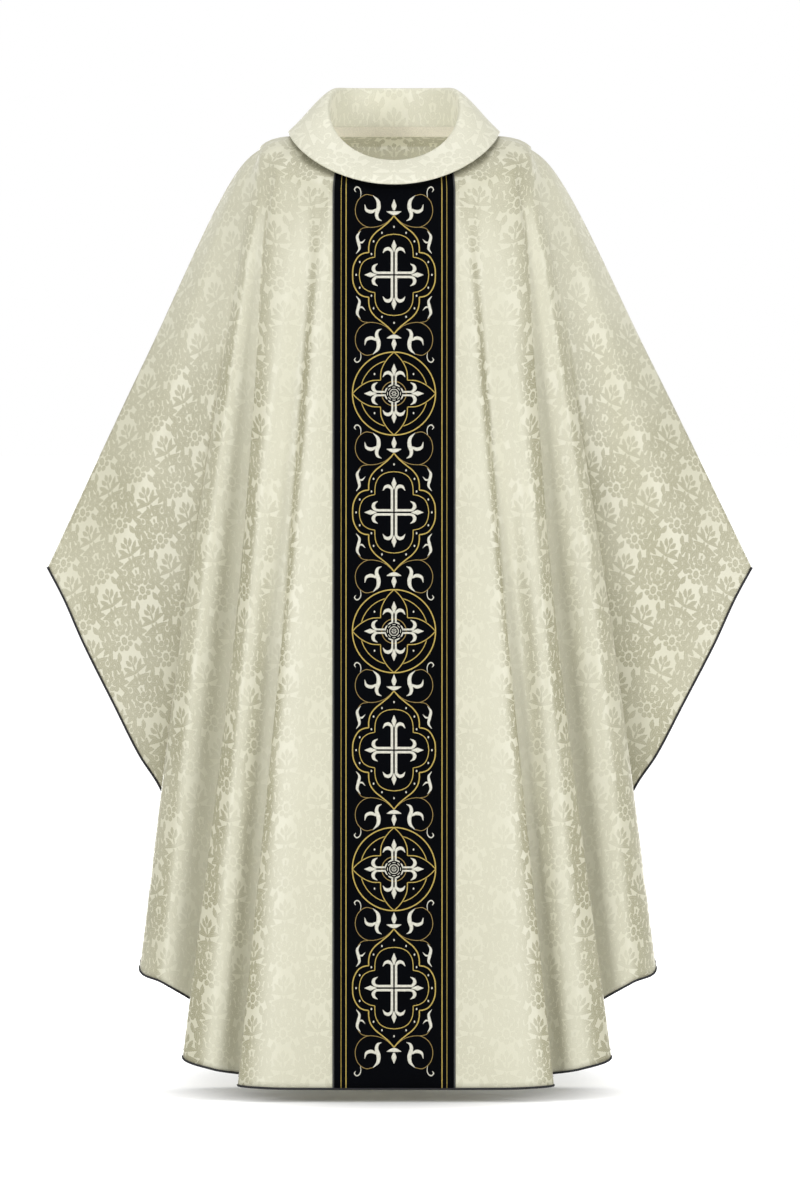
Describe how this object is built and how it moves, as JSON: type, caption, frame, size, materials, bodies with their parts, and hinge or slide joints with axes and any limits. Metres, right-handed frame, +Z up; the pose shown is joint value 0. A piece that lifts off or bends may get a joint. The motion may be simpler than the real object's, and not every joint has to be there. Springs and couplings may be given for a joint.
{
  "type": "chasuble",
  "caption": "Wide liturgical outer vestment with a fold-over collar, wing-shaped sides in deep folds and a dark embroidered band down the middle of front and back.",
  "frame": {"origin": "midway between the shoulders, at the height where they carry the cloth, 1326 mm above the front hem", "axes": "+Z up, -Y the way the wearer faces, +X to the right of a viewer who faces the wearer"},
  "size_m": [0.9947, 0.4416, 1.4047],
  "materials": {
    "damask": "ivory self-patterned damask, satin figure on a duller ground",
    "collar_damask": "the same damask, paler, folded over a stiffened stand",
    "interlining": "stiff plain woven interlining",
    "neck_tape": "beige woven tape",
    "orphrey_velvet": "near-black close-piled cloth",
    "orphrey_edging": "charcoal woven edging",
    "piping": "charcoal-black twisted cord",
    "gold_thread": "gold metallic embroidery thread",
    "silver_thread": "silver-white satin stitch thread"
  },
  "bodies": {
    "root": {"front_panel": "damask", "front_edge_piping": "piping", "front_orphrey": "orphrey_velvet", "front_orphrey_edging_left": "orphrey_edging", "front_gold_line_outer_left": "gold_thread", "front_gold_line_inner_left": "gold_thread", "front_orphrey_edging_right": "orphrey_edging", "front_gold_line_outer_right": "gold_thread", "front_gold_line_inner_right": "gold_thread", "front_ogee_frame_1": "gold_thread", "front_ogee_cross_1": "silver_thread", "front_ogee_frame_2": "gold_thread", "front_ogee_cross_2": "silver_thread", "front_ogee_frame_3": "gold_thread", "front_ogee_cross_3": "silver_thread", "front_ogee_frame_4": "gold_thread", "front_ogee_cross_4": "silver_thread", "front_round_frame_1": "gold_thread", "front_round_cross_1": "silver_thread", "front_round_frame_2": "gold_thread", "front_round_cross_2": "silver_thread", "front_round_frame_3": "gold_thread", "front_round_cross_3": "silver_thread", "back_panel": "damask", "back_edge_piping": "piping", "back_orphrey": "orphrey_velvet", "back_orphrey_edging_left": "orphrey_edging", "back_gold_line_outer_left": "gold_thread", "back_gold_line_inner_left": "gold_thread", "back_orphrey_edging_right": "orphrey_edging", "back_gold_line_outer_right": "gold_thread", "back_gold_line_inner_right": "gold_thread", "back_ogee_frame_1": "gold_thread", "back_ogee_cross_1": "silver_thread", "back_ogee_frame_2": "gold_thread", "back_ogee_cross_2": "silver_thread", "back_ogee_frame_3": "gold_thread", "back_ogee_cross_3": "silver_thread", "back_ogee_frame_4": "gold_thread", "back_ogee_cross_4": "silver_thread", "back_round_frame_1": "gold_thread", "back_round_cross_1": "silver_thread", "back_round_frame_2": "gold_thread", "back_round_cross_2": "silver_thread", "back_round_frame_3": "gold_thread", "back_round_cross_3": "silver_thread", "collar": "collar_damask", "collar_interlining": "interlining", "neck_tape": "neck_tape"}
  },
  "joints": []
}
